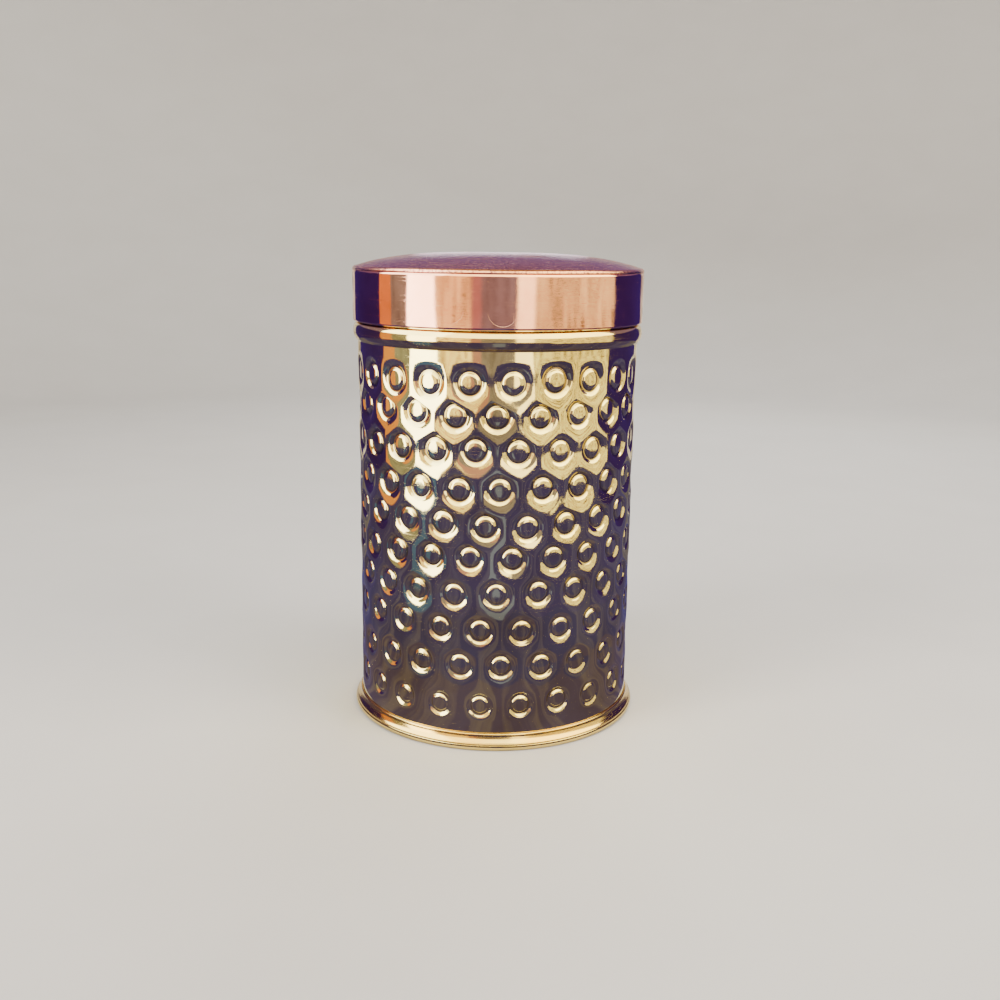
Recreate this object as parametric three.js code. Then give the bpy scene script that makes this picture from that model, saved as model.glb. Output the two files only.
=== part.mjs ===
// A round brass storage canister with rows of ring-punched bosses and a copper slip-on lid.
// Millimetres, +Z up, origin at the centre of the foot's underside, front towards -Y.

import * as THREE from 'three';
import { mergeVertices } from 'three/addons/utils/BufferGeometryUtils.js';

// Driving dimensions.
const WALL_RADIUS = 50; // outside of the canister's plain sheet
const WALL_SHEET = 1.1; // thickness between the plain inner face and the punched outer face
const WALL_BOTTOM = 1; // the wall stops just above the table, inside the foot
const MOUTH_HEIGHT = 157; // top of the neck, hidden inside the lid
const CLEARANCE = 0.3; // gap between pieces that touch or are soldered together

// Punched bosses: how many go round, and for each row its height and the angle of one boss.
const BOSSES_ROUND = 22;
const ROW_HEIGHTS = [15.5, 29.5, 42.5, 55, 67, 78.5, 90.5, 103, 115, 125.5];
const ROW_ANGLES = [10.7, 3, 11, 1, 7, 12.5, 2, 9, 0.8, 6.4]; // degrees from the front
const BOSS_DOME = 0.35; // how far a boss's dome stands out of the plain surface
const BOSS_GROOVE = 0.6; // depth of the sharp ring round the dome
const BOSS_SLOPE = 0.3; // depth half way up the crater's outer slope
const GROOVE_RADIUS = 3.6;
const CRATER_RADIUS = 6.2;

// Stop bead, a half-round ring that the lid rests on.
const BEAD_BOTTOM = 135.8;
const BEAD_TOP = 142;
const BEAD_STANDS_OUT = 1.25;

// Foot: a flared strip above a round bead.
const FOOT_HEIGHT = 5.5;
const FOOT_RADIUS = 52.65; // outermost, at the bead
const FOOT_BEAD_RADIUS = 1.05;
const FOOT_SHEET = 0.6;

// Base and mouth.
const BASE_HEIGHT = 4;
const BASE_SHEET = 1;
const MOUTH_WIRE_RADIUS = 0.8;

// Lid.
const LID_RADIUS = 51.55;
const LID_SHEET = 0.6;
const LID_BOTTOM = BEAD_TOP + CLEARANCE;
const LID_SHOULDER = 160.9; // height of the sharp edge between skirt and crown
const LID_DOME = 5.3; // rise of the crown above that edge
const CROWN_POWER = 3.3; // flat in the middle, falling away near the edge
const CROWN_EDGE = 0.9; // height of the crown's visible edge above the skirt
const CROWN_LIP = 2.5; // how far the crown's turned-down lip reaches inside the skirt
const HEM_HEIGHT = 3; // folded-in lower edge of the skirt

const SEGMENTS = 48; // facets round each turned ring

const brass = new THREE.MeshStandardMaterial({ color: 0xcdb76e, roughness: 0.18, metalness: 1 });
const brassInside = new THREE.MeshStandardMaterial({ color: 0xb89d58, roughness: 0.35, metalness: 1 });
const copper = new THREE.MeshStandardMaterial({ color: 0xd9986e, roughness: 0.16, metalness: 1 });

// Turns a profile of [radius, height] points, given anticlockwise, about the +Z axis.
function turn(name, profile, material) {
  const points = profile.map(([radius, height]) => new THREE.Vector2(radius, height));
  const geometry = new THREE.LatheGeometry(points, SEGMENTS);
  geometry.rotateX(Math.PI / 2);
  return piece(name, geometry, material);
}

function piece(name, geometry, material) {
  geometry.deleteAttribute('normal');
  geometry.deleteAttribute('uv');
  const mesh = new THREE.Mesh(mergeVertices(geometry, 1e-5), material);
  mesh.name = name;
  return mesh;
}

// Points from 0 to 1 inclusive.
function steps(count) {
  return Array.from({ length: count + 1 }, (_, i) => i / count);
}

// The eight corners of a round wire's section, with flats above and below, closed on itself.
function wireSection(centreRadius, centreHeight, radius) {
  const corner = radius / Math.cos(Math.PI / 8);
  return steps(8).map((t) => {
    const angle = Math.PI / 8 + t * 2 * Math.PI;
    return [centreRadius + corner * Math.cos(angle), centreHeight + corner * Math.sin(angle)];
  });
}

// The punched wall. Four columns and four levels of points make each boss: its dome's top in the
// middle, the groove round it, and the plain sheet between it and its neighbours.
function bodyWall() {
  const columns = BOSSES_ROUND * 4;
  const columnAngle = 360 / columns;
  const positions = [];
  const ring = (height, angle, radiusAt) => {
    for (let i = 0; i < columns; i += 1) {
      const a = THREE.MathUtils.degToRad(angle + i * columnAngle);
      const radius = radiusAt(i);
      positions.push(radius * Math.sin(a), -radius * Math.cos(a), height);
    }
  };
  const plain = () => WALL_RADIUS;
  let rings = 0;
  const addRing = (height, angle, radiusAt) => {
    ring(height, angle, radiusAt);
    rings += 1;
  };

  addRing(WALL_BOTTOM, 0, plain);
  ROW_HEIGHTS.forEach((height, row) => {
    const bossColumn = Math.round(ROW_ANGLES[row] / columnAngle);
    const shift = ROW_ANGLES[row] - bossColumn * columnAngle;
    const fromBoss = (i) => (i - bossColumn + columns) % 4;
    const below = row === 0 ? height - CRATER_RADIUS : (height + ROW_HEIGHTS[row - 1]) / 2;
    const dip = (i, onBoss, beside) => {
      const depth = [onBoss, beside, 0, beside][fromBoss(i)];
      return WALL_RADIUS - depth;
    };
    addRing(below, shift, plain);
    addRing(height - GROOVE_RADIUS, shift, (i) => dip(i, BOSS_GROOVE, BOSS_SLOPE));
    addRing(height, shift, (i) => dip(i, -BOSS_DOME, BOSS_GROOVE));
    addRing(height + GROOVE_RADIUS, shift, (i) => dip(i, BOSS_GROOVE, BOSS_SLOPE));
  });
  addRing(ROW_HEIGHTS.at(-1) + CRATER_RADIUS, 0, plain);
  addRing(MOUTH_HEIGHT, 0, plain);
  addRing(MOUTH_HEIGHT, 0, () => WALL_RADIUS - WALL_SHEET);
  addRing(WALL_BOTTOM, 0, () => WALL_RADIUS - WALL_SHEET);

  const index = [];
  for (let level = 0; level < rings; level += 1) {
    const above = (level + 1) % rings; // the last ring, inside the bottom, joins the first
    for (let i = 0; i < columns; i += 1) {
      const next = (i + 1) % columns;
      const [a, b] = [level * columns + i, level * columns + next];
      const [c, d] = [above * columns + next, above * columns + i];
      index.push(a, b, c, a, c, d);
    }
  }
  const geometry = new THREE.BufferGeometry();
  geometry.setAttribute('position', new THREE.Float32BufferAttribute(positions, 3));
  geometry.setIndex(index);
  return piece('body_wall', geometry, brass);
}

function stopBead() {
  const inner = WALL_RADIUS + CLEARANCE;
  const middle = (BEAD_BOTTOM + BEAD_TOP) / 2;
  const half = (BEAD_TOP - BEAD_BOTTOM) / 2;
  const outside = steps(8).map((t) => {
    const angle = (t - 0.5) * Math.PI;
    return [inner + BEAD_STANDS_OUT * Math.cos(angle), middle + half * Math.sin(angle)];
  });
  return turn('stop_bead', [...outside, outside[0]], brass);
}

function mouthWire() {
  const centre = WALL_RADIUS - WALL_SHEET - CLEARANCE - MOUTH_WIRE_RADIUS;
  const section = wireSection(centre, MOUTH_HEIGHT - MOUTH_WIRE_RADIUS, MOUTH_WIRE_RADIUS);
  return turn('mouth_wire', section, brassInside);
}

function basePlate() {
  const radius = WALL_RADIUS - WALL_SHEET - CLEARANCE;
  const top = BASE_HEIGHT + BASE_SHEET;
  return turn('base_plate', [[0, BASE_HEIGHT], [radius, BASE_HEIGHT], [radius, top], [0, top]], brassInside);
}

// A strip that hugs the wall at the top and sweeps out in a hollow curve to the foot bead.
function footRing() {
  const inner = WALL_RADIUS + CLEARANCE;
  const bottom = 2 * FOOT_BEAD_RADIUS + CLEARANCE;
  const drop = FOOT_HEIGHT - bottom;
  const sweep = FOOT_RADIUS - 0.2 - inner - FOOT_SHEET;
  const curve = (t, sheet) => [inner + sheet + sweep * t ** 2.2, FOOT_HEIGHT - drop * t];
  const outside = steps(6).map((t) => curve(1 - t, FOOT_SHEET));
  const inside = steps(3).map((t) => curve(t, 0));
  return turn('foot_ring', [...outside, ...inside, outside[0]], brass);
}

function footWire() {
  const section = wireSection(FOOT_RADIUS - FOOT_BEAD_RADIUS, FOOT_BEAD_RADIUS, FOOT_BEAD_RADIUS);
  return turn('foot_wire', section, brass);
}

function lidCrown() {
  const rise = (radius) => LID_DOME * (1 - (radius / LID_RADIUS) ** CROWN_POWER);
  const lipOuter = LID_RADIUS - LID_SHEET - CLEARANCE;
  const lipInner = lipOuter - LID_SHEET;
  const edgeBottom = LID_SHOULDER - CROWN_EDGE;
  const spread = steps(8).map((t) => Math.sin((t * Math.PI) / 2)); // closer together near the edge
  const top = spread.map((s) => {
    const radius = (LID_RADIUS - 0.3) * s;
    return [radius, LID_SHOULDER + rise(radius)];
  });
  const under = spread.map((s) => [lipInner * s, LID_SHOULDER + rise(lipInner * s) - LID_SHEET]);
  const profile = [
    ...under,
    [lipInner, edgeBottom - CROWN_LIP],
    [lipOuter, edgeBottom - CROWN_LIP],
    [lipOuter, edgeBottom],
    [LID_RADIUS, edgeBottom],
    [LID_RADIUS, LID_SHOULDER - 0.3],
    ...top.reverse(),
  ];
  return turn('lid_crown', profile, copper);
}

function lidSkirt() {
  const top = LID_SHOULDER - CROWN_EDGE - CLEARANCE;
  const inner = LID_RADIUS - LID_SHEET;
  const hem = inner - LID_SHEET;
  const profile = [
    [hem, LID_BOTTOM],
    [LID_RADIUS, LID_BOTTOM],
    [LID_RADIUS, top],
    [inner, top],
    [inner, LID_BOTTOM + HEM_HEIGHT],
    [hem, LID_BOTTOM + HEM_HEIGHT],
    [hem, LID_BOTTOM],
  ];
  return turn('lid_skirt', profile, copper);
}

const canister = new THREE.Group();
canister.add(bodyWall(), stopBead(), mouthWire(), basePlate(), footRing(), footWire());

const lid = new THREE.Group();
lid.add(lidCrown(), lidSkirt());

const group = new THREE.Group();
group.add(canister, lid);

export default group;
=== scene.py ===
import math
import random

import bmesh
import bpy
from mathutils import Matrix, Vector
from mathutils.kdtree import KDTree


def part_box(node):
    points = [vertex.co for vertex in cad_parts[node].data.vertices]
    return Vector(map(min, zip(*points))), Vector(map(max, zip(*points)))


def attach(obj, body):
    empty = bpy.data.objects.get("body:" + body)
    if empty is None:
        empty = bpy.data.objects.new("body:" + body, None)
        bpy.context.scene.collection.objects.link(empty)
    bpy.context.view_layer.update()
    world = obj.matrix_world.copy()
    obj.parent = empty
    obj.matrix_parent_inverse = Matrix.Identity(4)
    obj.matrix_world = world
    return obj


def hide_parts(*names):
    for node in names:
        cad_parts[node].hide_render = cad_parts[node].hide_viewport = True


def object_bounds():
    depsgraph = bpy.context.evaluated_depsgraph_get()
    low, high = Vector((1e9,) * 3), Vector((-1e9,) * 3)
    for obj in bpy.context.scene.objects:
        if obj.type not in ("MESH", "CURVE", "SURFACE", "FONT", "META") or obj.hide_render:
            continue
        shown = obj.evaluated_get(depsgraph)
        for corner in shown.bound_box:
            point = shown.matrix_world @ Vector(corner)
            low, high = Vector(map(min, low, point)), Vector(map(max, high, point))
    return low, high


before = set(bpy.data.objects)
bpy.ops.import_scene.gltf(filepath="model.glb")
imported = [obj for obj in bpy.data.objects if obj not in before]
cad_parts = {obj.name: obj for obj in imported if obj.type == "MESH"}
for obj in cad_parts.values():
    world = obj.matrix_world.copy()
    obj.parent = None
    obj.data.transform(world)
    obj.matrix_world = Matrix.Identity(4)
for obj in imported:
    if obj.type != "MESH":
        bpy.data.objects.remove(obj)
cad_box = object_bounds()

# --- Camera ---
# A phone held about 0.4 m away at the height of the lid, tipped down to the middle of the canister
# and turned by less than a degree.
mm = 0.001
canister_height = cad_box[1].z
camera_data = bpy.data.cameras.new("phone_camera")
camera_data.sensor_width = 36
camera_data.lens = 40.13
camera = bpy.data.objects.new("phone_camera", camera_data)
tip_down = math.radians(12.8)
camera_turn = math.radians(0.70)
place = Matrix.Translation((1.6 * mm, -404.6 * mm, canister_height + 1.9 * mm))
aim = Matrix.Rotation(math.pi / 2 - tip_down, 4, "X") @ Matrix.Rotation(camera_turn, 4, "Z")
camera.matrix_world = place @ aim
bpy.context.scene.collection.objects.link(camera)
bpy.context.scene.camera = camera


# --- Studio ---
# A table and backdrop in one piece: pale painted board that sweeps up all round without a corner,
# so that it looks the same from every side.
def linear(hex_colour):
    """An sRGB colour such as "#C9A04E" as the linear RGBA that shader sockets hold."""
    shares = [int(hex_colour[i : i + 2], 16) / 255 for i in (1, 3, 5)]
    return [s / 12.92 if s <= 0.04045 else ((s + 0.055) / 1.055) ** 2.4 for s in shares] + [1]


def new_material(name):
    """An empty material with a Principled shader wired to its output, and the shader."""
    material = bpy.data.materials.new(name)
    material.use_nodes = True
    shader = material.node_tree.nodes["Principled BSDF"]
    return material, shader


def add(material, kind, sockets=None, **settings):
    """Adds a node. Each socket takes a link if it is given another node's output, or a value."""
    node = material.node_tree.nodes.new(kind)
    for name, value in settings.items():
        setattr(node, name, value)
    for name, value in (sockets or {}).items():
        if isinstance(value, bpy.types.NodeSocket):
            material.node_tree.links.new(value, node.inputs[name])
        else:
            node.inputs[name].default_value = value
    return node


def feed(material, output, socket):
    material.node_tree.links.new(output, socket)


def mesh_piece(name, bm, *materials):
    """Makes the object of a finished bmesh, smooth shaded, at the origin."""
    mesh = bpy.data.meshes.new(name)
    for face in bm.faces:
        face.smooth = True
    bm.to_mesh(mesh)
    bm.free()
    piece = bpy.data.objects.new(name, mesh)
    for material in materials:
        mesh.materials.append(material)
    bpy.context.scene.collection.objects.link(piece)
    return piece


def turned(outline, segments, closed=True):
    """A bmesh of an outline of (radius, height) points turned once round the Z axis."""
    bm = bmesh.new()
    points = [bm.verts.new((radius, 0, height)) for radius, height in outline]
    ends = points[1:] + points[:1] if closed else points[1:]
    edges = [bm.edges.new(pair) for pair in zip(points, ends)]
    bmesh.ops.spin(
        bm, geom=points + edges, axis=(0, 0, 1), cent=(0, 0, 0), angle=2 * math.pi,
        steps=segments, use_merge=True,
    )
    bmesh.ops.remove_doubles(bm, verts=bm.verts, dist=1e-6)
    bmesh.ops.recalc_face_normals(bm, faces=bm.faces)
    return bm


def arc(centre, radius, start, end, steps):
    """Points on an arc in the (radius, height) plane, angles in degrees."""
    angles = [math.radians(start + (end - start) * i / steps) for i in range(steps + 1)]
    return [(centre[0] + radius * math.cos(a), centre[1] + radius * math.sin(a)) for a in angles]


def per_metre(size):
    """The scale of a pattern whose features are about this many millimetres across."""
    return 1000 / size


TABLE_RADIUS = 0.9
SWEEP_RADIUS = 0.35
BACKDROP_HEIGHT = 1.3
# Flat emulsion rolled on board. It gives a soft pale grey with no shine and hardly any grain.
board, board_shader = new_material("painted_board")
board_grain = add(board, "ShaderNodeTexNoise", {"Scale": per_metre(25), "Detail": 3})
board_tone = add(board, "ShaderNodeMix", {0: board_grain.outputs["Fac"], 6: linear("#DAD8D3"),
                                          7: linear("#E2E0DC")}, data_type="RGBA")
feed(board, board_tone.outputs[2], board_shader.inputs["Base Color"])
board_shader.inputs["Roughness"].default_value = 0.85
board_shader.inputs["Specular IOR Level"].default_value = 0.1
sweep = arc((TABLE_RADIUS, SWEEP_RADIUS), SWEEP_RADIUS, -90, 0, 12)
stage_mesh = turned([(0, 0)] + sweep + [(TABLE_RADIUS + SWEEP_RADIUS, BACKDROP_HEIGHT)], 96, closed=False)
table = mesh_piece("table_and_backdrop", stage_mesh, board)


# --- Lights ---
# Soft boxes stand round the table and one hangs above. Polished metal shows what stands round it, so
# a ring of glowing cards paints the reflection of a room into it: windows, warm shelves and dark gaps
# between them. The cards are no lamps: they show only in mirror-like surfaces and light nothing, and so
# does the dark cloth on the table, which is a painted reflection too.
def softbox(name, azimuth, distance, height, width, tall, power, colour):
    """A soft box at an azimuth from the front, in degrees, facing the canister."""
    data = bpy.data.lights.new(name, "AREA")
    data.shape = "RECTANGLE"
    data.size, data.size_y = width, tall
    data.energy = power
    data.color = linear(colour)[:3]
    light = bpy.data.objects.new(name, data)
    a = math.radians(azimuth)
    place = Vector((distance * math.sin(a), -distance * math.cos(a), height))
    towards = Vector((0, 0, canister_height / 2)) - place
    light.matrix_world = Matrix.Translation(place) @ towards.to_track_quat("-Z", "Y").to_matrix().to_4x4()
    light.visible_camera = False
    light.visible_glossy = False  # metal shows the cards instead
    bpy.context.scene.collection.objects.link(light)


def only_mirrored(name, bm, material):
    """Makes a painted reflection: a stage piece that only mirror-like surfaces show."""
    piece = mesh_piece(name, bm, material)
    piece.visible_camera = piece.visible_diffuse = piece.visible_shadow = False
    piece.visible_transmission = piece.visible_volume_scatter = False


def glow(name, colour, strength, streaks, between, fineness):
    """Glowing card or cloth, no lamp, that paints a reflection into the metal. Streaks, from 0 to 1, say
    how strong its uneven bands are, painted like things on a shelf or folds. Fineness is how many
    there are in an arc as long as its radius."""
    material, shader = new_material(name)
    shader.inputs["Base Color"].default_value = linear("#000000")
    shader.inputs["Specular IOR Level"].default_value = 0
    shader.inputs["Emission Strength"].default_value = strength
    material.cycles.emission_sampling = "NONE"
    place = add(material, "ShaderNodeTexCoord")
    flat = add(material, "ShaderNodeMapping", {"Vector": place.outputs["Object"], "Scale": (1, 1, 0)})
    round_about = add(material, "ShaderNodeVectorMath", {0: flat.outputs["Vector"]}, operation="NORMALIZE")
    levels = add(material, "ShaderNodeMapping", {"Vector": place.outputs["Object"], "Scale": (0, 0, 4)})
    both = add(material, "ShaderNodeVectorMath", {0: round_about.outputs["Vector"],
                                                  1: levels.outputs["Vector"]}, operation="ADD")
    uneven = add(material, "ShaderNodeTexNoise",
                 {"Vector": both.outputs["Vector"], "Scale": fineness, "Detail": 5, "Roughness": 0.65})
    share = add(material, "ShaderNodeMapRange", {"Value": uneven.outputs["Fac"], "From Min": 0.46,
                                                 "From Max": 0.6, "To Max": streaks})
    tone = add(material, "ShaderNodeMix", {0: share.outputs["Result"], 6: linear(colour),
                                           7: linear(between)}, data_type="RGBA")
    feed(material, tone.outputs[2], shader.inputs["Emission Color"])
    return material


CARD_RADIUS = 0.55
CARD_MIDDLE = 0.26  # height where the low cards end and the high ones begin
CARD_TOP = 0.85
# The cloth is a glowing ring seen only in the metal: a painted reflection of a dark cloth, not a cloth on
# the table.
CLOTH = 0.003  # height of the cloth, just clear of the table
CLOTH_HOLE = 0.0532  # radius of the cloth's inner edge, just clear of the foot
CLOTH_FOLD = 0.045  # how high the cloth's far edge is turned up
PURPLE = "#5A50A4"
LILAC = "#9A98DC"


def card(name, start, end, edge, colour, strength, streaks=0.0, between="#241410", fineness=13):
    """A glowing card swept between two azimuths from the front, in degrees, that only the metal shows as
    a painted reflection. Its edge runs between two (radius, height) points."""
    bm = bmesh.new()
    across = Vector((math.sin(math.radians(start)), -math.cos(math.radians(start)), 0))
    ends = [bm.verts.new(across * radius + Vector((0, 0, height))) for radius, height in edge]
    line = bm.edges.new(ends)
    bmesh.ops.spin(bm, geom=ends + [line], axis=(0, 0, 1), cent=(0, 0, 0),
                   angle=math.radians(end - start), steps=max(2, round((end - start) / 4)))
    only_mirrored(name, bm, glow(name, colour, strength, streaks, between, fineness))


softbox("left_softbox", -52, 0.85, 0.50, 0.34, 0.70, 8.0, "#FFF8F0")
softbox("right_softbox", 62, 0.85, 0.50, 0.50, 0.70, 8.0, "#FFF3E2")
softbox("back_softbox", 160, 0.80, 0.70, 0.60, 0.40, 5.0, "#FFFFFF")
softbox("top_softbox", 20, 0.20, 0.95, 0.60, 0.60, 6.0, "#FFFAF2")
low = [(CARD_RADIUS, CLOTH), (CARD_RADIUS, CARD_MIDDLE)]
high = [(CARD_RADIUS, CARD_MIDDLE), (CARD_RADIUS, CARD_TOP)]
overhead = [(CARD_RADIUS, CARD_TOP), (0.0, CARD_TOP + 0.1)]
laid_at_foot = [(CLOTH_HOLE, CLOTH), (0.11, CLOTH)]
laid_near = [(0.11, CLOTH), (0.2, CLOTH)]
laid_far = [(0.2, CLOTH), (CARD_RADIUS, CLOTH)]
turned_up = [(CARD_RADIUS - 0.01, CLOTH), (CARD_RADIUS - 0.01, CLOTH_FOLD)]
# Each card below glows and shows only in the metal as a painted reflection, named after what it stands
# for.
card("orange_doorway_reflection", -99, -86, low, "#F8A055", 1.4)
card("grey_wall_reflection", -86, -70, low, "#B8B4AC", 1.2, 0.5)
card("tall_window_reflection", -70, -46, low, "#FFF8EC", 11.0)
card("left_shelves_reflection", -46, -19, low, "#FFE2A4", 3.2, 1.0, "#6A4420", 16)
card("curtain_reflection", -19, -12, low, "#D0989C", 1.5)
card("dim_doorway_reflection", -12, 14, low, "#B0A4B4", 1.3, 0.7, "#5A4844")
card("narrow_window_reflection", 14, 27, low, "#FFEAC0", 5.0)
card("right_shelves_reflection", 27, 97, low, "#FFECAC", 2.7, 1.0, "#5E3A1C", 16)
card("dark_right_reflection", 97, 146, low, "#5438A8", 0.6)
card("back_shelves_right_reflection", 146, 172, low, "#E8DCC8", 1.6, 0.8, "#6A5040")
card("back_window_reflection", 172, 188, low, "#F4F0F8", 4.0)
card("back_shelves_left_reflection", 188, 214, low, "#E8DCC8", 1.6, 0.8, "#6A5040")
card("dark_left_reflection", 214, 261, low, "#5438A8", 0.6)
card("left_sky_reflection", -100, -40, high, "#FAF8F0", 9.0)
card("middle_sky_reflection", -40, 16, high, "#FFF4CC", 6.5, 0.5, "#D0B060")
card("right_sky_reflection", 16, 100, high, "#FFF2BC", 9.0, 0.5, "#D8B860")
card("back_sky_reflection", 100, 260, high, "#B090CC", 0.8)
card("ceiling_reflection", 0, 360, overhead, "#FFE2A0", 0.9, 0.6, "#A87838")
# These cloth cards paint the reflection of a dark cloth round the foot; two paler ones paint a window's
# and a doorway's sheen on it.
card("cloth_at_foot_reflection", 0, 360, laid_at_foot, "#6A5E98", 0.8, 0.3, "#B4A8B4", 6)
card("near_cloth_reflection", 0, 360, laid_near, "#5A54A2", 0.8, 0.3, "#A8A0C0", 6)
card("left_cloth_reflection", -130, -66, laid_far, PURPLE, 0.8, 0.3, LILAC, 6)
card("window_sheen_on_cloth_reflection", -66, -51, laid_far, "#6888E0", 0.8)
card("middle_cloth_reflection", -51, -3, laid_far, PURPLE, 0.8, 0.3, LILAC, 6)
card("doorway_sheen_on_cloth_reflection", -3, 6, laid_far, "#98A4F0", 0.8)
card("right_cloth_reflection", 6, 130, laid_far, PURPLE, 0.8, 0.3, LILAC, 6)
card("back_cloth_reflection", 130, 230, laid_far, "#6A6488", 0.8, 0.5, "#C8C0B8", 6)
card("cloth_edge_reflection", -46, 40, turned_up, PURPLE, 0.8, 0.3, LILAC)
world = bpy.data.worlds.new("dim_room")
world.use_nodes = True
world.node_tree.nodes["Background"].inputs["Color"].default_value = linear("#6C6A78")
world.node_tree.nodes["Background"].inputs["Strength"].default_value = 0.6
bpy.context.scene.world = world


# --- Punched wall ---
# Half-hard brass sheet rolled into a tube and brazed up the back. A ring punch, struck from outside
# on a lead pad, sinks a sharp ring and leaves a small dome inside it. The sheet round each mark is
# drawn down too, so that neighbours meet in soft ridges. The top edge is rolled over the mouth wire.
WALL_RADIUS = 50 * mm
SHEET = 0.8 * mm
MOUTH_ROLL = 0.95 * mm  # inside of the roll round the mouth wire
BOSSES_ROUND = 22
ROW_HEIGHTS = [15.5, 29.5, 42.5, 55, 67, 78.5, 90.5, 103, 115, 125.5]  # mm
ROW_ANGLES = [10.7, 3, 11, 1, 7, 12.5, 2, 9, 0.8, 6.4]  # degrees from the front to one boss
# The punch's mark as (radius, height) in mm: button, sharp ring, then the wall up to the crater's edge.
PUNCH_MARK = [(0, 0.0), (1.6, -0.01), (2.5, -0.05), (3.0, -0.19), (3.4, -0.46), (3.7, -0.73),
              (3.88, -0.68), (4.06, -0.71), (4.55, -0.46), (5.1, -0.18), (5.65, 0.0)]
RING = 3.7  # mm, where the punch's own edge bites
EDGE = PUNCH_MARK[-1][0]
DRAWN = 8.6  # mm, how far round a mark the sheet is drawn down
DRAWN_DEPTH = 0.82  # mm at the middle of the round
DROOP = 1.7  # mm, how far the drawn-down round lies below the mark, as the punch leaned
TOP_DROOP = 2.5  # mm, in the top row
POINT_SPACING = 1.85  # mm, along the ridges between marks
CELL_REACH = 12  # mm, more than half way to any neighbour
NEIGHBOUR_REACH = 22  # mm, far enough to find every neighbour

round_length = 2 * math.pi * WALL_RADIUS / mm
punching = random.Random(22)


class Boss:
    """One punch mark: its place on the unrolled sheet in mm, and how this blow went."""

    def __init__(self, row, number):
        angle = ROW_ANGLES[row] + number * 360 / BOSSES_ROUND
        wander = 0.4 * math.sin(2.1 * row + math.radians(angle) * 3)
        upwards = row / (len(ROW_HEIGHTS) - 1)  # the upper rows were struck harder
        across = angle / 360 * round_length + punching.gauss(0, 0.2)
        self.at = Vector((across, ROW_HEIGHTS[row] + wander + punching.gauss(0, 0.2), 0))
        self.size = 0.9 + 0.11 * upwards + punching.uniform(-0.04, 0.04)
        self.depth = 0.9 + 0.15 * upwards + punching.uniform(-0.14, 0.14)
        self.drawn = DRAWN_DEPTH * min(0.4 + 0.9 * upwards, 1) * punching.uniform(0.8, 1.2)
        droop = TOP_DROOP if upwards == 1 else DROOP * min(0.5 + upwards, 1)
        self.round = self.at - Vector((0, droop, 0))
        self.seat = -self.drawn * 0.55  # how deep the button and its ring lie, all at one level
        lean = punching.uniform(0, 2 * math.pi)
        slip = punching.uniform(0, 0.45)
        self.slip = Vector((slip * math.cos(lean), slip * math.sin(lean), 0))


bosses = [Boss(row, n) for row in range(len(ROW_HEIGHTS)) for n in range(BOSSES_ROUND)]
row_bottom = ROW_HEIGHTS[0] - 7.6
row_top = ROW_HEIGHTS[-1] + 8.2
near = KDTree(3 * len(bosses))
for i, boss in enumerate(bosses):
    for turn in (-1, 0, 1):
        near.insert((boss.round.x + turn * round_length, boss.round.y, 0), i)
near.balance()


def sheet_height(at):
    """Height of the sheet outside the punch's own marks: each blow draws its round down like a very
    shallow cone, and where two rounds meet there is a ridge."""
    nearest = near.find_n(at, 3)
    meeting = [(i, distance) for _, i, distance in nearest if distance < nearest[0][2] + 0.05]
    drawn = [bosses[i].drawn * max(1 - distance / DRAWN, 0) for i, distance in meeting]
    return -sum(drawn) / len(drawn)


def own_sheet(boss):
    """The flat piece of sheet that is nearer to this mark than to any other, as one face, and the
    planes that bound it."""
    cell = bmesh.new()
    bmesh.ops.create_grid(cell, x_segments=1, y_segments=1, size=CELL_REACH)
    bmesh.ops.translate(cell, vec=boss.round, verts=cell.verts)
    bounds = [
        (Vector((0, row_top, 0)), Vector((0, 1, 0))),
        (Vector((0, row_bottom, 0)), Vector((0, -1, 0))),
    ]
    for place, _, distance in near.find_range(boss.round, NEIGHBOUR_REACH):
        if distance > 0.1:
            bounds.append(((place + boss.round) / 2, (place - boss.round).normalized()))
    for point, outwards in bounds:
        everything = list(cell.verts) + list(cell.edges) + list(cell.faces)
        bmesh.ops.bisect_plane(cell, geom=everything, plane_co=point, plane_no=outwards, clear_outer=True)
    for edge in list(cell.edges):
        cuts = round(edge.calc_length() / POINT_SPACING) - 1
        if cuts > 0:
            bmesh.ops.subdivide_edges(cell, edges=[edge], cuts=cuts)
    return cell, bounds


def reach(boss, bounds, direction):
    """Distance from a mark's centre to the edge of its own sheet, along a direction."""
    found = DRAWN * 2
    for point, outwards in bounds:
        along = direction.dot(outwards)
        if along > 0.05:
            found = min(found, (point - boss.at).dot(outwards) / along)
    return found


def wrapped(at, height, radius):
    """A point of the unrolled sheet, in mm, on the tube, in metres."""
    around = at.x / round_length * 2 * math.pi
    out = radius + height * mm
    return Vector((out * math.sin(around), -out * math.cos(around), at.y * mm))


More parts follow.
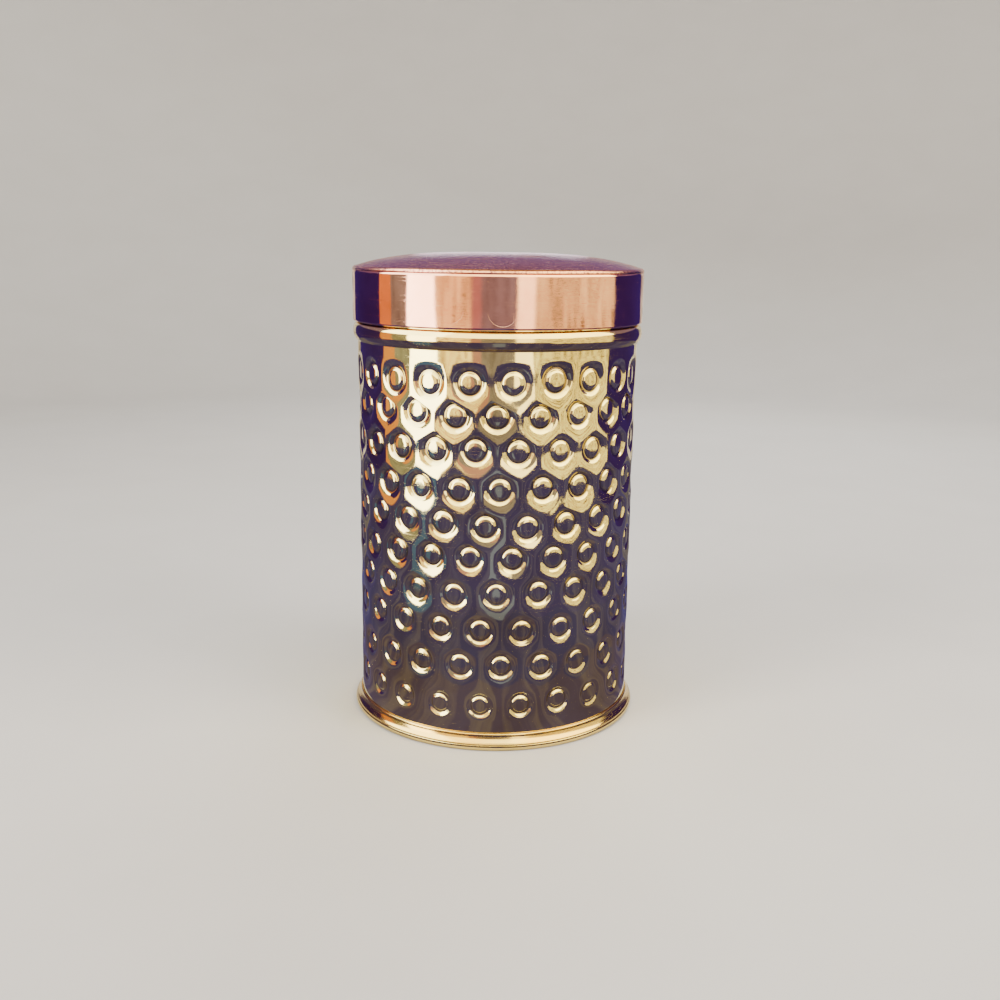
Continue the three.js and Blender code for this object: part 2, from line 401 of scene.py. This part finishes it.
def punched_sheet(radius, mark):
    """A mesh of the punched part of one face of the sheet, wrapped round at a radius. The mark
    runs from its centre to the crater's edge."""
    sheet = bmesh.new()
    sheet.verts.layers.float.new("punch_depth")
    mesh = bpy.data.meshes.new("sheet")
    for boss in bosses:
        cell, bounds = own_sheet(boss)
        sunk = cell.verts.layers.float.new("punch_depth")
        face = cell.faces[:][0]
        count = len(face.verts)
        border = [vert.co - boss.at for vert in face.verts]
        start = math.atan2(border[0].y, border[0].x)
        turns = [(math.atan2(b.y, b.x) - start) % (2 * math.pi) for b in border]
        even = [2 * math.pi * i / count for i in range(count)]
        twist = sum(t - e for t, e in zip(turns, even)) / count
        aims = [Vector((math.cos(start + twist + e), math.sin(start + twist + e), 0)) for e in even]
        for vert in face.verts:
            rise = sheet_height(vert.co)
            vert.co, vert[sunk] = wrapped(vert.co, rise, radius), -rise
        rings = [(None, 0)] + list(reversed(mark[1:]))
        for size, height in rings:
            bmesh.ops.inset_individual(cell, faces=[face], thickness=0.0001)
            for vert, aim, corner in zip(face.verts, aims, border):
                crater = min(EDGE * boss.size, reach(boss, bounds, aim) * 0.93)
                if size is None:  # half way from the crater's edge to the ridge
                    at = boss.at + (aim * crater + corner) / 2
                    outer = 1
                else:
                    outer = max((size - RING) / (EDGE - RING), 0)  # 0 at the ring, 1 at the edge
                    distance = min(size, RING) * boss.size
                    distance += outer * (crater - RING * boss.size)
                    slip = boss.slip * min(outer * 1.5, 1) * (1 - outer)
                    at = boss.at + aim * distance + slip
                rise = sheet_height(at) * outer + boss.seat * (1 - outer) + height * boss.depth
                vert.co, vert[sunk] = wrapped(at, rise, radius), -rise
        top = bmesh.ops.poke(cell, faces=[face])["verts"][0]
        rise = boss.seat + mark[0][1] * boss.depth
        top.co, top[sunk] = wrapped(boss.at, rise, radius), -rise
        cell.to_mesh(mesh)
        cell.free()
        sheet.from_mesh(mesh)
    bmesh.ops.remove_doubles(sheet, verts=sheet.verts, dist=0.02 * mm)
    sheet.to_mesh(mesh)
    sheet.free()
    return mesh


wall = bmesh.new()
wall.from_mesh(punched_sheet(WALL_RADIUS, PUNCH_MARK))
wall.from_mesh(punched_sheet(WALL_RADIUS - SHEET, [PUNCH_MARK[i] for i in (0, 3, 10)]))
middle_height = (row_bottom + row_top) / 2 * mm
half_sheet = WALL_RADIUS - SHEET / 2


def rim(at_top, outside):
    """The open edges of one face of the punched sheet, at its top or its bottom."""
    found = []
    for edge in wall.edges:
        at = edge.verts[0].co
        if edge.is_boundary and (at.z > middle_height) == at_top:
            if (math.hypot(at.x, at.y) > half_sheet) == outside:
                found.append(edge)
    return found


def run_on(edges, path):
    """Extrudes a round edge along a path of (radius, height) points and gives its last edges."""
    for radius, height in path:
        made = bmesh.ops.extrude_edge_only(wall, edges=edges)["geom"]
        edges = [g for g in made if isinstance(g, bmesh.types.BMEdge)]
        for vert in [g for g in made if isinstance(g, bmesh.types.BMVert)]:
            outwards = Vector((vert.co.x, vert.co.y, 0)).normalized()
            vert.co = outwards * radius + Vector((0, 0, height))
            vert[wall.verts.layers.float["punch_depth"]] = 0
    return edges


inner_top = rim(True, outside=False)
inner_bottom = rim(False, outside=False)
wire_low, wire_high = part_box("mouth_wire")
WALL_INSIDE = WALL_RADIUS - SHEET
roll_middle = (WALL_INSIDE - MOUTH_ROLL, (wire_low.z + wire_high.z) / 2 - 0.3 * mm)
neck = [(WALL_RADIUS, h * mm) for h in (135, 138, 146)]
roll_over = arc(roll_middle, MOUTH_ROLL + SHEET, 0, 235, 14)
roll_under = arc(roll_middle, MOUTH_ROLL, 235, 0, 10)
inner_neck = [(WALL_INSIDE, h * mm) for h in (146, 138)]
top_edges = run_on(rim(True, outside=True), neck + roll_over + roll_under + inner_neck)
bmesh.ops.bridge_loops(wall, edges=top_edges + inner_top)
wall_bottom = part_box("body_wall")[0].z
outer_skirt = [(WALL_RADIUS, h) for h in (6.5 * mm, 4 * mm, wall_bottom)]
bottom_edges = run_on(rim(False, outside=True), outer_skirt)
bmesh.ops.bridge_loops(wall, edges=bottom_edges + inner_bottom)
bmesh.ops.recalc_face_normals(wall, faces=wall.faces)
for face in wall.faces:
    middle = face.calc_center_median()
    faces_in = face.normal.x * middle.x + face.normal.y * middle.y < 0
    face.material_index = 1 if faces_in and math.hypot(middle.x, middle.y) < half_sheet else 0

BRASS = linear("#ECDD92")
BRASS_DULL = linear("#D4BF72")
BRASS_TARNISH = linear("#7E6244")
TARNISH_PATCH = 26.3  # mm across, and so are the next five
SMEAR = 11.1
HAMMER_WAVE = 14.3
PIT = 0.77  # drawn coarser than a real pit, so that it shows
MOP_LINE = 0.4  # drawn far coarser than a real mop line, so that it shows
MOP_LINE_LENGTH = 16.7


def mop_lines(material, strength, over):
    """Fine lines left by a polishing mop as the piece was turned under it, on top of another bump.
    Gives their bump and their noise."""
    place = add(material, "ShaderNodeTexCoord")
    along = per_metre(MOP_LINE_LENGTH)
    stretch = add(material, "ShaderNodeMapping", {"Vector": place.outputs["Object"],
                                                  "Scale": (along, along, per_metre(MOP_LINE))})
    lines = add(material, "ShaderNodeTexNoise",
                {"Vector": stretch.outputs["Vector"], "Scale": 1.0, "Detail": 4, "Roughness": 0.7})
    bump = add(material, "ShaderNodeBump", {"Height": lines.outputs["Fac"], "Strength": strength,
                                            "Distance": 0.02 * mm, "Normal": over})
    return bump, lines


def polished(name, bright, dull, tarnish, roughness, punched=False, handled=False, mopped=0.25):
    """Hand-polished sheet: mirror-like, slightly wavy, in patches of bright and dull colour, with mop
    lines that also roughen it. Punched sheet holds dirt in its deepest rings. A handled top has
    lost its mirror and is full of tiny pits."""
    material, shader = new_material(name)
    place = add(material, "ShaderNodeTexCoord").outputs["Object"]
    patches = add(material, "ShaderNodeTexNoise",
                  {"Vector": place, "Scale": per_metre(TARNISH_PATCH), "Detail": 4, "Roughness": 0.6})
    tone = add(material, "ShaderNodeMapRange",
               {"Value": patches.outputs["Fac"], "From Min": 0.4, "From Max": 0.75})
    colour = add(material, "ShaderNodeMix", {0: tone.outputs["Result"], 6: bright, 7: dull},
                 data_type="RGBA")
    result = colour.outputs[2]
    if punched:
        depth = add(material, "ShaderNodeAttribute", attribute_name="punch_depth")
        dirt = add(material, "ShaderNodeMapRange",
                   {"Value": depth.outputs["Fac"], "From Min": 0.75, "From Max": 1.35, "To Max": 0.7})
        result = add(material, "ShaderNodeMix", {0: dirt.outputs["Result"], 6: result, 7: tarnish},
                     data_type="RGBA").outputs[2]
    if handled:
        pits = add(material, "ShaderNodeTexNoise",
                   {"Vector": place, "Scale": per_metre(PIT), "Detail": 3, "Roughness": 0.7})
        pitted = add(material, "ShaderNodeMapRange",
                     {"Value": pits.outputs["Fac"], "From Min": 0.5, "From Max": 0.64, "To Max": 0.85})
        result = add(material, "ShaderNodeMix", {0: pitted.outputs["Result"], 6: result, 7: tarnish},
                     data_type="RGBA").outputs[2]
    feed(material, result, shader.inputs["Base Color"])
    shader.inputs["Metallic"].default_value = 1
    smears = add(material, "ShaderNodeTexNoise",
                 {"Vector": place, "Scale": per_metre(SMEAR), "Detail": 5, "Roughness": 0.65})
    rough = add(material, "ShaderNodeMapRange", {"Value": smears.outputs["Fac"], "From Min": 0.3,
                                                 "From Max": 0.75, "To Min": roughness,
                                                 "To Max": roughness + 0.05})
    waves = add(material, "ShaderNodeTexNoise",
                {"Vector": place, "Scale": per_metre(HAMMER_WAVE), "Detail": 1})
    wavy = add(material, "ShaderNodeBump",
               {"Height": waves.outputs["Fac"], "Strength": 0.5, "Distance": 0.25 * mm})
    surface = wavy.outputs["Normal"]
    if handled:
        pit_bump = add(material, "ShaderNodeBump", {"Height": pits.outputs["Fac"], "Strength": 0.6,
                                                    "Distance": 0.12 * mm, "Normal": surface})
        surface = pit_bump.outputs["Normal"]
    lines, scratches = mop_lines(material, mopped, surface)
    scratched = add(material, "ShaderNodeMapRange", {"Value": scratches.outputs["Fac"], "From Min": 0.56,
                                                     "From Max": 0.7, "To Max": 0.16})
    worn = add(material, "ShaderNodeMath", {0: rough.outputs["Result"], 1: scratched.outputs["Result"]},
               operation="ADD")
    feed(material, worn.outputs["Value"], shader.inputs["Roughness"])
    feed(material, lines.outputs["Normal"], shader.inputs["Normal"])
    return material


# Brass sheet polished on a mop after punching. It gives the eye pale gold rings on flats that mirror
# the painted room of glowing cards, with brown dirt where the punch's edge bit.
punched_brass = polished("punched_polished_brass", BRASS, BRASS_DULL, BRASS_TARNISH, 0.04, punched=True)
# Brass sheet left as it was rolled. It gives a soft amber glow inside, with no mirror.
plain_brass = polished("satin_brass_inside", linear("#E4C484"), linear("#C8A468"), BRASS_TARNISH, 0.3)
body_wall = mesh_piece("punched_wall", wall, punched_brass, plain_brass)
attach(body_wall, "canister")
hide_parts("body_wall")


# --- Stop bead ---
# Half-round brass strip bent to a ring and soldered round the wall. The lid's skirt comes down on
# it. A thin fillet of solder shows as a line along its lower edge.
bead_low, bead_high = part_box("stop_bead")
bead_half = (bead_high.z - bead_low.z) / 2
bead_middle = bead_low.z + bead_half
bead_out = bead_high.x - WALL_RADIUS
# Solid brass strip and wire, polished on a mop. It gives long bright gold streaks along each curve.
polished_brass = polished("polished_brass", linear("#E9D080"), BRASS_DULL, BRASS_TARNISH, 0.06)
bulge = [
    (WALL_RADIUS + bead_out * math.cos(a), bead_middle + bead_half * math.sin(a))
    for a in [math.radians(-86 + 172 * i / 14) for i in range(15)]
]
solder_line = [
    (WALL_RADIUS - 0.1 * mm, bead_low.z - 0.35 * mm),
    (WALL_RADIUS + 0.12 * mm, bead_low.z - 0.3 * mm),
]
bead_outline = solder_line + bulge + [(WALL_RADIUS - 0.1 * mm, bead_high.z)]
stop_bead = mesh_piece("stop_bead_ring", turned(bead_outline, 160), polished_brass)
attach(stop_bead, "canister")
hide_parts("stop_bead")


# --- Mouth wire ---
# Drawn brass wire that the neck's edge is rolled over, so that the mouth stays round and smooth.
wire_radius = (wire_high.z - wire_low.z) / 2
wire_outline = arc(roll_middle, wire_radius, 0, 345, 23)
mouth_wire = mesh_piece("mouth_wire_ring", turned(wire_outline, 96), plain_brass)
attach(mouth_wire, "canister")
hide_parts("mouth_wire")


# --- Base plate ---
# A brass disc with its edge turned up a little, pressed into the wall and soldered.
base_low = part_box("base_plate")[0]
BASE_SHEET = 0.7 * mm
BASE_CORNER = 1.2 * mm
BASE_LIP = 3 * mm
base_radius = WALL_INSIDE - 0.02 * mm
corner_middle = (base_radius - BASE_CORNER, base_low.z + BASE_CORNER)
base_outline = (
    [(0, base_low.z)] + arc(corner_middle, BASE_CORNER, -90, 0, 5)
    + [(base_radius, base_low.z + BASE_LIP), (base_radius - BASE_SHEET, base_low.z + BASE_LIP)]
    + arc(corner_middle, BASE_CORNER - BASE_SHEET, 0, -90, 5) + [(0, base_low.z + BASE_SHEET)]
)
base_plate = mesh_piece("base_disc", turned(base_outline, 96, closed=False), plain_brass)
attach(base_plate, "canister")
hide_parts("base_plate")


# --- Foot ---
# A strip of brass soldered round the wall, which sweeps out in a hollow curve, and the round bead
# at its edge that the canister stands on. The strip's edge is tucked down behind the bead.
foot_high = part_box("foot_ring")[1]
wire_foot_low, wire_foot_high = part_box("foot_wire")
FOOT_SHEET = 0.6 * mm
foot_bead = (wire_foot_high.z - wire_foot_low.z) / 2
foot_edge = wire_foot_high.x
foot_drop = foot_high.z - wire_foot_high.z
flare_out = foot_edge - 0.35 * mm - WALL_RADIUS - FOOT_SHEET


def flare(share, sheet):
    """A point on the foot's hollow sweep, from 0 at the wall to 1 at the bead."""
    return (WALL_RADIUS + sheet + flare_out * share**2.2, foot_high.z - foot_drop * share)


flare_outline = (
    [(WALL_RADIUS + 0.35 * mm, foot_high.z + 0.1 * mm)]
    + [flare(i / 10, FOOT_SHEET) for i in range(1, 11)]
    + [flare(1 - i / 10, 0) for i in range(11)]
)
# Brass strip rubbed with fine grit before it was bent. It gives a blurred deep gold that runs dark at
# the sides.
satin_brass = polished("satin_brass_flare", linear("#D8B45C"), BRASS_DULL, BRASS_TARNISH, 0.12)
foot_ring = mesh_piece("foot_flare", turned(flare_outline, 160), satin_brass)
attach(foot_ring, "canister")
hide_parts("foot_ring")
BEAD_SPREAD = 0.08 * mm  # how much fatter solder makes the bead, where it fills the gap to the flare
bead_centre = (foot_edge - foot_bead - BEAD_SPREAD, foot_bead + BEAD_SPREAD / 2)
foot_outline = arc(bead_centre, foot_bead + BEAD_SPREAD, 0, 345, 23)
foot_outline = [(radius, max(height, 0)) for radius, height in foot_outline]
foot_wire = mesh_piece("foot_bead_ring", turned(foot_outline, 160), polished_brass)
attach(foot_wire, "canister")
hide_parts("foot_wire")


# --- Lid skirt ---
# A copper band, its lower edge folded in to a smooth hem that slides over the neck and comes down
# on the stop bead.
skirt_low, skirt_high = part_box("lid_skirt")
crown_low, crown_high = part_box("lid_crown")
LID_RADIUS = skirt_high.x
LID_SHEET = 0.6 * mm
HEM = 3 * mm
COPPER = linear("#EFB293")
COPPER_DULL = linear("#D09070")
COPPER_TARNISH = linear("#6E4048")
# Copper sheet polished on a mop as it spun. It gives a pink mirror that shows the painted room of
# glowing cards in upright bands, crossed by fine level lines.
polished_copper = polished("polished_copper", COPPER, COPPER_DULL, COPPER_TARNISH, 0.03, mopped=0.6)

# Curved scratches on the front of the skirt, like half rings. Drawn wider than a real scratch, so
# that they show as fine lines.
SCRATCH_ROUND = 4.6 * mm
SCRATCH_WIDTH = 0.16 * mm
SCRATCHES = [(-37, 7.0), (-17, 6.6), (2, 6.0)]  # degrees from the front, and mm above the hem
skirt_shader = polished_copper.node_tree.nodes["Principled BSDF"]
skirt_place = add(polished_copper, "ShaderNodeTexCoord").outputs["Object"]
skirt_height = add(polished_copper, "ShaderNodeSeparateXYZ", {0: skirt_place}).outputs["Z"]
skirt_normal = skirt_shader.inputs["Normal"].links[0].from_socket
for degrees, above_hem in SCRATCHES:
    a = math.radians(degrees)
    middle = (LID_RADIUS * math.sin(a), -LID_RADIUS * math.cos(a), skirt_low.z + above_hem * mm)
    away = add(polished_copper, "ShaderNodeVectorMath", {0: skirt_place, 1: middle}, operation="DISTANCE")
    line = add(polished_copper, "ShaderNodeMath", {0: away.outputs["Value"], 1: SCRATCH_ROUND,
                                                   2: SCRATCH_WIDTH}, operation="COMPARE")
    lower = add(polished_copper, "ShaderNodeMath", {0: skirt_height, 1: middle[2]}, operation="LESS_THAN")
    half_ring = add(polished_copper, "ShaderNodeMath", {0: line.outputs["Value"],
                                                        1: lower.outputs["Value"]}, operation="MULTIPLY")
    skirt_normal = add(polished_copper, "ShaderNodeBump",
                       {"Height": half_ring.outputs["Value"], "Strength": 1.0, "Distance": 0.15 * mm,
                        "Normal": skirt_normal}, invert=True).outputs["Normal"]
feed(polished_copper, skirt_normal, skirt_shader.inputs["Normal"])
crown_edge = skirt_high.z + 0.05 * mm  # where the crown's edge sits on the skirt
fold = arc((LID_RADIUS - LID_SHEET, skirt_low.z + LID_SHEET), LID_SHEET, -180, 0, 8)
# The band's face has a point close above the fold, which keeps its smooth shading flat.
band_levels = [
    skirt_low.z + LID_SHEET + 0.2 * mm, skirt_low.z + 5 * mm, (skirt_low.z + crown_edge) / 2,
    crown_edge - 1 * mm, crown_edge - 0.15 * mm,
]
skirt_outline = (
    fold + [(LID_RADIUS, level) for level in band_levels]
    + [(LID_RADIUS - 0.15 * mm, crown_edge), (LID_RADIUS - LID_SHEET, crown_edge)]
    + [(LID_RADIUS - LID_SHEET, skirt_low.z + HEM), (LID_RADIUS - 2 * LID_SHEET, skirt_low.z + HEM)]
)
lid_skirt = mesh_piece("copper_skirt", turned(skirt_outline, 160), polished_copper)
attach(lid_skirt, "lid")
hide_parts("lid_skirt")


# --- Lid crown ---
# A copper disc raised to a low dome, its edge turned down inside the skirt and soldered. The sharp
# shoulder has a small round and is buffed like the top, which is hazy from handling.
crown_top = crown_high.z
dome = 5.3 * mm
shoulder = crown_top - dome
SHOULDER_ROUND = 1.1 * mm
lip_outside = LID_RADIUS - LID_SHEET - 0.02 * mm
flat_radius = LID_RADIUS - SHOULDER_ROUND


def crown_height(radius):
    """The crown's upper face: flat in the middle, falling away near the shoulder."""
    return shoulder + dome * (1 - (radius / LID_RADIUS) ** 3.3)


spread = [math.sin(i / 26 * math.pi / 2) for i in range(27)]
crown_upper = [(flat_radius * s, crown_height(flat_radius * s)) for s in spread]
turn_middle = (flat_radius, crown_upper[-1][1] - SHOULDER_ROUND)
edge_round = arc(turn_middle, SHOULDER_ROUND, 90, 0, 5)
lip_inside = lip_outside - LID_SHEET
under = [(lip_inside * s, crown_height(lip_inside * s) - LID_SHEET) for s in reversed(spread)]
crown_outline = (
    crown_upper[:-1] + edge_round
    + [(LID_RADIUS, crown_edge + 0.12 * mm), (LID_RADIUS - 0.12 * mm, crown_edge + 0.02 * mm)]
    + [(lip_outside, crown_edge + 0.02 * mm), (lip_outside, crown_low.z), (lip_inside, crown_low.z)]
    + under
)
# Copper sheet that was polished once and has been handled since. It gives a hazy mauve with dark and
# light specks.
buffed_copper = polished("buffed_copper", COPPER_DULL, COPPER, COPPER_TARNISH, 0.2, handled=True)
lid_crown = mesh_piece("copper_crown", turned(crown_outline, 160, closed=False), buffed_copper)
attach(lid_crown, "lid")
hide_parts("lid_crown")
